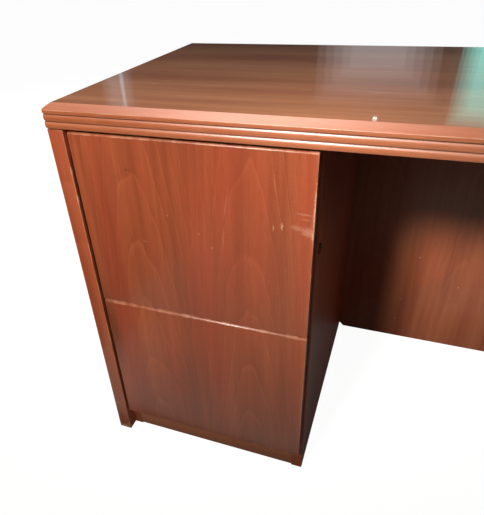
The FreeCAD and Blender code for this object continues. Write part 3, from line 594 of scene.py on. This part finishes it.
# %% Dress the solids
by_ending = {
    # ending: the finish in the return, the finish in the desk
    "_top_panel": (return_top_cherry, desk_top_cherry),
    "_top_edge_front": (solid_cherry_x, solid_cherry_y),
    "_top_edge_back": (solid_cherry_x, solid_cherry_y),
    "_top_edge_near_end": (solid_cherry_y, solid_cherry_x),
    "_top_edge_ends": (solid_cherry_y, solid_cherry_x),
    "_end_panel": (panel_cherry_y, panel_cherry_x),
    "_side": (panel_cherry_y, panel_cherry_x),
    "_case_back": (panel_cherry_x, panel_cherry_y),
    "_modesty_panel": (panel_cherry_x, panel_cherry_y),
    "_base_rail": (solid_cherry_x, solid_cherry_y),
    "_drawer_front": (return_front_cherry, desk_front_cherry),
    "_box": (maple_ply_y, maple_ply_y),
    "_case_bottom": (case_board, case_board), "_case_rails": (case_board, case_board),
    "_lock_housing": (lock_bronze, lock_bronze), "_lock_plug": (plug_bronze, plug_bronze),
    "top_spacer_strips": (spacer_black_as_shade, spacer_black_as_shade), "floor_glides": (glide_nylon, glide_nylon),
}


def finish_for(node):
    """The finish of a solid, by the end of its name and the run it stands in."""
    for ending, (in_return, in_desk) in by_ending.items():
        if node.endswith(ending):
            return in_return if node.startswith("return") else in_desk
    return zinc_steel


for name, solid in frame["nodes"].items():
    solid.data.materials.clear()
    solid.data.materials.append(finish_for(name))
print("dressed:", len(frame["nodes"]))

# %% [markdown]
# ## Pieces
# Each run is drawn in a frame of its own, as a joiner would: U goes from its end panel towards
# the kneehole, V from the drawer fronts towards the back, and Z up. A matrix then puts it in its
# place. The desk's matrix swaps U and V, because that run stands across the return.

# %% The frames of the two runs
runs = {
    "return": Matrix.Translation((-989.1 * MM, 350.2 * MM, 0)),
    "desk": Matrix(((0, 1, 0, 235.9 * MM), (1, 0, 0, -912.9 * MM), (0, 0, 1, 0), (0, 0, 0, 1))),
}


def run_of(node):
    """The name of the run that a node belongs to."""
    return node.split("_")[0]


def in_run(box, run):
    """The lowest and highest corners of a box, in the frame of a run."""
    ends = [runs[run].inverted() @ corner for corner in box]
    return Vector(map(min, *ends)), Vector(map(max, *ends))


def span(node):
    """The lowest and highest corners of a node, in the frame of its run."""
    return in_run(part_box(node), run_of(node))


low, high = span("return_upper_drawer_front")
print("a drawer front, in mm:", [round(size / MM, 1) for size in high - low])

# %% [markdown]
# A few moves come back in every piece. A board is a cube that is stretched to its sizes. A section
# is drawn out into a bar. A plane slices off what is not wanted and the cut is closed, which is
# how a saw works. Sharp arrises are broken with a small round bevel, and the faces of that bevel
# carry the arris mark that the cherry finish reads.

# %% Boards, bars, saw cuts and soft arrises
touching = 0.001 * MM


def board(low, high):
    """A board from its lowest corner to its highest, as a mesh in the making."""
    bm = bmesh.new()
    size = Matrix.Diagonal((*(high - low), 1.0))
    bmesh.ops.create_cube(bm, size=1.0, matrix=Matrix.Translation((low + high) / 2) @ size)
    return bm


def draw_out(bm, section, way):
    """Draws the faces of a section out along a way, into a bar."""
    drawn = bmesh.ops.extrude_face_region(bm, geom=section)["geom"]
    drawn = [part for part in drawn if isinstance(part, bmesh.types.BMVert)]
    bmesh.ops.translate(bm, vec=way, verts=drawn)
    bmesh.ops.remove_doubles(bm, verts=bm.verts, dist=touching)


def saw(bm, point, normal):
    """Cuts off what lies beyond a plane and closes the cut."""
    parts = bm.verts[:] + bm.edges[:] + bm.faces[:]
    cut = bmesh.ops.bisect_plane(bm, geom=parts, plane_co=point, plane_no=normal, clear_outer=True)
    rim = [part for part in cut["geom_cut"] if isinstance(part, bmesh.types.BMEdge)]
    if rim:
        bmesh.ops.edgeloop_fill(bm, edges=rim)


def ease(bm, edges, radius, segments=3):
    """Rounds the edges off, and marks the new faces as arrises."""
    mark = bm.faces.layers.float.get("arris") or bm.faces.layers.float.new("arris")
    rounded = bmesh.ops.bevel(bm, geom=edges, offset=radius, offset_type="OFFSET", affect="EDGES",
                              segments=segments, profile=0.5, material=-1, clamp_overlap=True)
    for face in rounded["faces"]:
        face[mark] = 1.0


# %% Turn a mesh into a piece of the desk
sharpest_round = math.radians(30)


def make_piece(name, bm, finishes, nodes, run=None):
    """Puts a mesh, drawn in the room or in a run, in its place; it rides as its solids do."""
    if run:
        bmesh.ops.transform(bm, matrix=runs[run], verts=bm.verts)
    bmesh.ops.recalc_face_normals(bm, faces=bm.faces)
    data = bpy.data.meshes.new(name)
    bm.to_mesh(data)
    bm.free()
    data.shade_smooth()
    data.set_sharp_from_angle(angle=sharpest_round)
    for finish in finishes:
        data.materials.append(finish)
    piece = bpy.data.objects.new(name, data)
    bpy.context.scene.collection.objects.link(piece)
    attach(piece, body_of(frame["nodes"][nodes[0]])[0])
    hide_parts(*nodes)


# %% [markdown]
# ### The moulding round the tops
# A solid strip runs round every free edge: a slope at the top, a narrow flat band, and two reeds
# one under the other. Each reed stands furthest out a little below its middle, so its upper part
# faces the light and its lower part is nearly upright. On the real desk a spindle cutter made it
# in one pass. Here its outline is a chain of vertices, with each reed spun as an arc, and the
# outline is drawn out along the strip and sawn to a mitre at each end.

# %% The outline of the moulding
underside, top_face = 713.0 * MM, 749.3 * MM
slope_width, slope_height = 13.7 * MM, 8.5 * MM
band_height = 5.5 * MM
reed_height, reed_nose = 11.15 * MM, 5.0 * MM
reed_top_setback, reed_foot_setback = 3.0 * MM, 0.9 * MM
reed_steps = 6


def moulding_outline(bm):
    """The outline at the start of a strip: Y goes in from the outer edge."""
    def on_to(last, inward, height):
        new = bm.verts.new((0, inward, height))
        bm.edges.new((last, new))
        return new

    def arc(last, rise, setback, nose):
        radius = (rise ** 2 + setback ** 2) / (2 * setback)
        spun = bmesh.ops.spin(bm, geom=[last], cent=(0, radius, nose), axis=(1, 0, 0),
                              steps=reed_steps, angle=-math.asin(rise / radius))
        return next(part for part in spun["geom_last"] if isinstance(part, bmesh.types.BMVert))

    first = last = bm.verts.new((0, slope_width, underside))
    for foot in (underside, underside + reed_height):
        nose = foot + reed_nose
        last = arc(on_to(last, reed_foot_setback, foot), reed_nose, reed_foot_setback, nose)
        last = arc(last, reed_height - reed_nose, reed_top_setback, nose)
    last = on_to(last, 0, last.co.z)
    last = on_to(last, 0, last.co.z + band_height)
    last = on_to(last, slope_width, top_face)
    bm.edges.new((last, first))
    return bmesh.ops.contextual_create(bm, geom=bm.edges[:])["faces"]


# %% A strip of moulding
corner_round, corner_steps = 7.7 * MM, 6
arris_radius = 0.7 * MM
groove_share, back_margin, band_margin = 0.55, 2.0 * MM, 0.1 * MM


def moulding_strip(start, end, mitred_start, mitred_end):
    """A strip between two corners of a top, its outer side to the right of the way it runs."""
    bm = bmesh.new()
    way = (end - start).normalized()
    length = (end - start).length
    draw_out(bm, moulding_outline(bm), (length, 0, 0))
    band_foot = underside + 2 * reed_height - touching
    outer = [edge for edge in bm.edges if edge.calc_length() > 0.5 * length
             and all(abs(vert.co.y) < touching and vert.co.z > band_foot for vert in edge.verts)]
    ease(bm, outer, arris_radius)
    for at, sign, mitred in ((0.0, -1, mitred_start), (length, 1, mitred_end)):
        if mitred:
            saw(bm, (at, 0, 0), (sign, 1, 0))
            round_corner(bm, at, sign)
    mark_grooves(bm)
    turn = Matrix(((way.x, -way.y, 0, start.x), (way.y, way.x, 0, start.y),
                   (0, 0, 1, 0), (0, 0, 0, 1)))
    bmesh.ops.transform(bm, matrix=turn, verts=bm.verts)
    return bm


def round_corner(bm, at, sign):
    """Bends the end of a strip, so that band and reeds run round the corner to the mitre."""
    for step in range(1, corner_steps + 1):
        parts = bm.verts[:] + bm.edges[:] + bm.faces[:]
        where = at - sign * corner_round * step / corner_steps
        bmesh.ops.bisect_plane(bm, geom=parts, plane_co=(where, 0, 0), plane_no=(1, 0, 0))
    for vert in bm.verts:
        along, inward = sign * (at - vert.co.x), vert.co.y
        if along < corner_round and inward < corner_round:
            reach = corner_round - inward
            turn = math.pi / 4 * (1 - (along - inward) / reach)
            vert.co.x = at - sign * (corner_round - reach * math.sin(turn))
            vert.co.y = corner_round - reach * math.cos(turn)


def mark_grooves(bm):
    """Marks the faces deep in the grooves, which the cherry finish paints darker as shade."""
    mark = bm.faces.layers.float.new("groove")
    band_foot = top_face - slope_height - band_height
    for face in bm.faces:
        middle = face.calc_center_median()
        face[mark] = float(groove_share * reed_top_setback < middle.y < slope_width - back_margin
                           and middle.z < band_foot + band_margin)


# %% Lay the moulding round both tops
def joined(strips):
    """Several meshes in the making, as one."""
    whole = strips[0]
    for strip in strips[1:]:
        data = bpy.data.meshes.new("strip")
        strip.to_mesh(data)
        strip.free()
        whole.from_mesh(data)
        bpy.data.meshes.remove(data)
    return whole


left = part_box("return_top_edge_near_end")[0].x
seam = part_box("desk_top_edge_front")[0].x
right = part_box("desk_top_edge_back")[1].x
front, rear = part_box("return_top_edge_front")[0].y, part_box("return_top_edge_back")[1].y
near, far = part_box("desk_top_edge_ends")[0].y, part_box("desk_top_edge_ends")[1].y
edges = {
    # node: strips as start, end, mitred at the start, mitred at the end
    "return_top_edge_front": (((left, front), (seam, front), True, False),),
    "return_top_edge_back": (((seam, rear), (left, rear), False, True),),
    "return_top_edge_near_end": (((left, rear), (left, front), True, True),),
    "desk_top_edge_front": (((seam, far), (seam, near), True, True),),
    "desk_top_edge_back": (((right, near), (right, far), True, True),),
    "desk_top_edge_ends": (((seam, near), (right, near), True, True),
                           ((right, far), (seam, far), True, True)),
}
for node, strips in edges.items():
    bm = joined([moulding_strip(Vector((*start, 0)), Vector((*end, 0)), first, last)
                 for start, end, first, last in strips])
    make_piece(node.replace("edge", "moulding"), bm, [finish_for(node)],
               [node])
print("strips of moulding:", sum(len(strips) for strips in edges.values()))

# %% [markdown]
# ### Drawer fronts
# Each front is a 20 mm board with veneer on all its edges. Its top edge is planed to a slope that
# catches the light. Hands rub that slope, so it is marked as half worn, and its paler wood also
# paints the highlight it catches. Behind the kneehole edge a second slope gives the fingers a
# grip, since the fronts have no handles.

# %% Make the drawer fronts
top_slope = 3.0 * MM
grip_width, grip_depth = 12.0 * MM, 8.0 * MM
front_arris = 1.1 * MM
slope_wear_and_highlight = 0.5
faces_that_way = 0.95
front_nodes = [node for node in frame["nodes"] if node.endswith("_drawer_front")]


def rub(bm, way, wear):
    """Marks the faces that look one way as worn and lit, as an arris is: wear and a painted highlight.
    """
    bm.normal_update()
    mark = bm.faces.layers.float["arris"]
    for face in bm.faces:
        if face.normal.dot(way) > faces_that_way:
            face[mark] = wear


for node in front_nodes:
    low, high = span(node)
    bm = board(low, high)
    saw(bm, (0, low.y, high.z - top_slope), (0, -1, 1))
    saw(bm, (high.x, high.y - grip_depth, 0), (grip_depth, grip_width, 0))
    ease(bm, bm.edges[:], front_arris)
    # The top slope is painted paler: half worn, and a painted highlight where it catches the light.
    rub(bm, Vector((0, -1, 1)).normalized(), slope_wear_and_highlight)
    make_piece(node.replace("_front", "_panel"), bm, [finish_for(node)],
               [node], run_of(node))
print("fronts:", len(front_nodes))

# %% [markdown]
# ### End panels
# Thick panels close the free ends of both runs. They stand on low glides, so the corners of their
# feet are cut off, and years of vacuum cleaners have worn the lacquer there.

# %% Make the end panels
foot_cut = 1.6 * MM
panel_arris = 1.4 * MM
end_panels = ("return_end_panel", "desk_near_end_panel", "desk_far_end_panel")
for node in end_panels:
    low, high = span(node)
    bm = board(low, high)
    saw(bm, (0, low.y + foot_cut, low.z), (0, -1, -1))
    saw(bm, (0, high.y - foot_cut, low.z), (0, 1, -1))
    ease(bm, bm.edges[:], panel_arris)
    make_piece(node + "_board", bm, [finish_for(node)], [node],
               run_of(node))
print("end panels:", len(end_panels))

# %% [markdown]
# ### Locks
# A lock's fixed barrel ends in a small round bezel. Both are turned parts, so their outline is
# spun round the lock's axis. The plug that turns inside keeps its solid, keyway and all.

# %% Turn the lock bezels
bezel_out, bezel_edge = 9.0 * MM, 1.0 * MM
barrel_out, bore = 7.0 * MM, 5.08 * MM
round_steps = 64
for run in runs:
    node = run + "_lock_housing"
    low, high = span(node)
    side_face = span(run + "_case_inner_side")[1].x
    centre_v, centre_z = (low.y + high.y) / 2, (low.z + high.z) / 2
    outline = (
        (low.x, bore), (low.x, barrel_out), (side_face, barrel_out), (side_face, bezel_out),
        (high.x - bezel_edge, bezel_out), (high.x - 0.3 * bezel_edge, bezel_out - 0.3 * bezel_edge),
        (high.x, bezel_out - bezel_edge), (high.x - 0.2 * bezel_edge, bore + 0.6 * bezel_edge),
        (high.x - 0.6 * bezel_edge, bore),
    )
    bm = bmesh.new()
    ring = [bm.verts.new((u, centre_v, centre_z + radius)) for u, radius in outline]
    loop = [bm.edges.new((ring[i - 1], ring[i])) for i in range(len(ring))]
    bmesh.ops.spin(bm, geom=loop, cent=(0, centre_v, centre_z), axis=(1, 0, 0), angle=math.tau,
                   steps=round_steps, use_merge=True)
    make_piece(run + "_lock_bezel", bm, [lock_bronze], [node], run)
print("bezels:", len(runs))

# %% [markdown]
# ### Drawer boxes
# The boxes are 12 mm maple plywood. Their top edges are rounded over, so that papers slide in and
# out without catching, and the bottom sits in grooves. Each wall is a board of its own, and its
# grain runs along it.

# %% Make the drawer boxes
wall = 12.0 * MM
bottom_rise, bottom_thickness, groove_depth = 8.0 * MM, 6.0 * MM, 6.0 * MM
rim_radius = 2.5 * MM


def box_wall(low, high, finish):
    """A wall with its top edges rounded over."""
    bm = board(low, high)
    rim = [edge for edge in bm.edges
           if all(vert.co.z > high.z - touching for vert in edge.verts)]
    ease(bm, rim, rim_radius, 4)
    for face in bm.faces:
        face.material_index = finish
    return bm


box_nodes = [node for node in frame["nodes"] if node.endswith("_drawer_box")]
for node in box_nodes:
    low, high = span(node)
    inner_low, inner_high = low + Vector((wall, wall, 0)), high - Vector((wall, wall, 0))
    floor_low = low + Vector((wall - groove_depth, wall - groove_depth, bottom_rise))
    floor_high = Vector((high.x - wall + groove_depth, high.y - wall + groove_depth,
                         low.z + bottom_rise + bottom_thickness))
    walls = [
        box_wall(low, Vector((inner_low.x, high.y, high.z)), 0),
        box_wall(Vector((inner_high.x, low.y, low.z)), high, 0),
        box_wall(Vector((inner_low.x, low.y, low.z)), Vector((inner_high.x, inner_low.y, high.z)), 1),
        box_wall(Vector((inner_low.x, inner_high.y, low.z)), Vector((inner_high.x, high.y, high.z)), 1),
        box_wall(floor_low, floor_high, 1),
    ]
    plies = [maple_ply_y, maple_ply_x] if node.startswith("return") else [maple_ply_x, maple_ply_y]
    make_piece(node + "_walls", joined(walls), plies, [node], run_of(node))
print("drawer boxes:", len(box_nodes))

# %% [markdown]
# ### Case boards
# The pedestals are built of veneered boards whose arrises are just broken. That hairline of paler
# wood, worn and a painted highlight, is what shows where the base rail meets the two sides. The
# rail's own grain runs along it.

# %% Make the case boards
board_arris = 0.8 * MM
cable_corner = 12.0 * MM
board_parts = ("case_outer_side", "case_base_rail", "case_bottom", "case_back", "modesty_panel")
for run in runs:
    for part in board_parts:
        node = run + "_" + part
        low, high = span(node)
        bm = board(low, high)
        if part == "modesty_panel":
            saw(bm, (low.x + cable_corner, 0, low.z), (-1, 0, -1))
        ease(bm, bm.edges[:], board_arris, 2)
        make_piece(node + "_board", bm, [finish_for(node)], [node], run)
print("case boards:", len(board_parts) * len(runs))

# %% [markdown]
# ### Turned steel and nylon
# Screws and glides are turned parts. A list of rings, each with its height and its radius, is
# stacked along an axis and skinned. A screw's socket has rings of six corners, and that makes the
# hexagon a key fits. Nodes that hold many solids are taken apart first, to find where each one
# lies.

# %% Find the solids of a node
weld = 0.01 * MM


def solids_in(node):
    """The lowest and highest corners of each solid of a node."""
    bm = bmesh.new()
    bm.from_mesh(frame["nodes"][node].data)
    bmesh.ops.transform(bm, matrix=frame["nodes"][node].matrix_world, verts=bm.verts)
    bmesh.ops.remove_doubles(bm, verts=bm.verts, dist=weld)
    boxes, unseen = [], set(bm.verts)
    while unseen:
        reached, island = [unseen.pop()], []
        while reached:
            vert = reached.pop()
            island.append(vert.co.copy())
            near = {edge.other_vert(vert) for edge in vert.link_edges} & unseen
            unseen -= near
            reached.extend(near)
        boxes.append((Vector(map(min, *island)), Vector(map(max, *island))))
    bm.free()
    return sorted(boxes, key=lambda box: tuple(round(value, 5) for value in (*box[0], *box[1])))


# %% Stack rings into turned parts
def turned(bm, place, way, rings):
    """Skins rings of (height, radius, corners) that are stacked from a place, along a way."""
    stand = Matrix.Translation(place) @ Vector(way).to_track_quat("Z", "Y").to_matrix().to_4x4()
    loops = []
    for height, radius, corners in rings:
        made = bmesh.ops.create_circle(bm, segments=corners, radius=radius,
                                       matrix=stand @ Matrix.Translation((0, 0, height)))
        loops.append({edge for vert in made["verts"] for edge in vert.link_edges})
    for lower, upper in zip(loops, loops[1:]):
        bmesh.ops.bridge_loops(bm, edges=list(lower | upper))
    for end in (loops[0], loops[-1]):
        bmesh.ops.contextual_create(bm, geom=list(end))


def head_rings(radius, height):
    """A domed head with a six-sided socket."""
    return ((0, radius, 20), (0.4 * height, radius, 20), (0.8 * height, 0.86 * radius, 20),
            (height, 0.62 * radius, 20), (height, 0.4 * radius, 6), (0.3 * height, 0.38 * radius, 6))


# %% Make the fixing screws and the glides
shank, head_height = 2.2 * MM, 2.4 * MM
screws = solids_in("fixing_screws")
bm = bmesh.new()
for low, high in screws:
    middle, length = (low + high) / 2, high.z - low.z - head_height
    rings = ((-length, 0.2 * shank, 12), (-length + 2 * shank, shank, 12), (0, shank, 12))
    rings += head_rings((high.x - low.x) / 2, head_height)
    turned(bm, (middle.x, middle.y, low.z + head_height), (0, 0, -1), rings)
make_piece("socket_screws", bm, [zinc_steel], ["fixing_screws"])

nail, disc_height = 1.2 * MM, 2.0 * MM
glides = solids_in("floor_glides")
bm = bmesh.new()
for low, high in glides:
    middle, radius = (low + high) / 2, (high.x - low.x) / 2
    rings = ((0, 0.8 * radius, 32), (0.12 * disc_height, 0.92 * radius, 32),
             (0.5 * disc_height, radius, 32), (disc_height, radius, 32), (disc_height, nail, 12),
             (high.z - low.z - 2 * nail, nail, 12), (high.z - low.z, 0.2 * nail, 12))
    turned(bm, (middle.x, middle.y, low.z), (0, 0, 1), rings)
make_piece("nylon_glides", bm, [glide_nylon], ["floor_glides"])
print("screws:", len(screws), "glides:", len(glides))

# %% [markdown]
# ### Drawer slides
# Every drawer hangs on two slides of three nested channels, rolled from zinc-plated strip. Rolling
# leaves round outer corners. The inner channel is screwed to the drawer, and its screw heads sit
# in the hollow. With it rides a catch, on the lock's side of the drawer, for the lock's stud.

# %% Roll the channels
strip_thickness, roll_radius = 1.2 * MM, 1.1 * MM
catch_arris = 0.7 * MM
slide_screw, slide_screw_height = 3.6 * MM, 1.9 * MM
screw_shares = (0.08, 0.36, 0.64, 0.92)
middle_u = 227.9 * MM
least_over = 20 * MM


def rolled_channel(low, high, opens):
    """A channel from front to back; its hollow faces the far side when opens is 1."""
    bm = bmesh.new()
    web, mouth = (low.x, high.x) if opens > 0 else (high.x, low.x)
    floor_u = web + opens * strip_thickness
    foot, head = low.z + strip_thickness, high.z - strip_thickness
    outline = ((web, low.z), (mouth, low.z), (mouth, foot), (floor_u, foot), (floor_u, head),
               (mouth, head), (mouth, high.z), (web, high.z))
    corners = [bm.verts.new((u, low.y, z)) for u, z in outline]
    for last, corner in zip(corners[-1:] + corners, corners):
        bm.edges.new((last, corner))
    section = bmesh.ops.contextual_create(bm, geom=bm.edges[:])["faces"]
    draw_out(bm, section, (0, high.y - low.y, 0))
    back = [edge for edge in bm.edges if edge.calc_length() > 0.5 * (high.y - low.y)
            and all(abs(vert.co.x - web) < touching for vert in edge.verts)]
    ease(bm, back, roll_radius)
    return bm


def slide_member(box, run, faces_drawer, screwed):
    """One channel of a slide, or the short catch that rides with it."""
    low, high = in_run(box, run)
    if high.y - low.y < high.z - low.z + least_over:
        bm = board(low, high)
        ease(bm, bm.edges[:], catch_arris)
        return bm
    side = 1 if low.x + high.x < 2 * middle_u else -1
    opens = side if faces_drawer else -side
    bm = rolled_channel(low, high, opens)
    if screwed:
        web = (low.x if opens > 0 else high.x) + opens * strip_thickness
        for share in screw_shares:
            place = (web, low.y + share * (high.y - low.y), (low.z + high.z) / 2)
            turned(bm, place, (opens, 0, 0), head_rings(slide_screw, slide_screw_height))
    return bm


members = {"_slide_middle": (True, False), "_slide_inner": (False, True)}
for node in frame["nodes"]:
    for ending, (faces_drawer, screwed) in members.items():
        if node.endswith(ending):
            run = run_of(node)
            channels = [slide_member(box, run, faces_drawer, screwed) for box in solids_in(node)]
            make_piece(node + "_channels", joined(channels), [zinc_steel],
                       [node], run)

outer_channels = []
for low, high in solids_in("slide_outer_members"):
    run = "desk" if high.x - low.x > high.y - low.y else "return"
    channel = slide_member((low, high), run, True, False)
    bmesh.ops.transform(channel, matrix=runs[run], verts=channel.verts)
    outer_channels.append(channel)
make_piece("slide_outer_channels", joined(outer_channels), [zinc_steel],
           ["slide_outer_members"])
print("outer channels:", len(outer_channels))
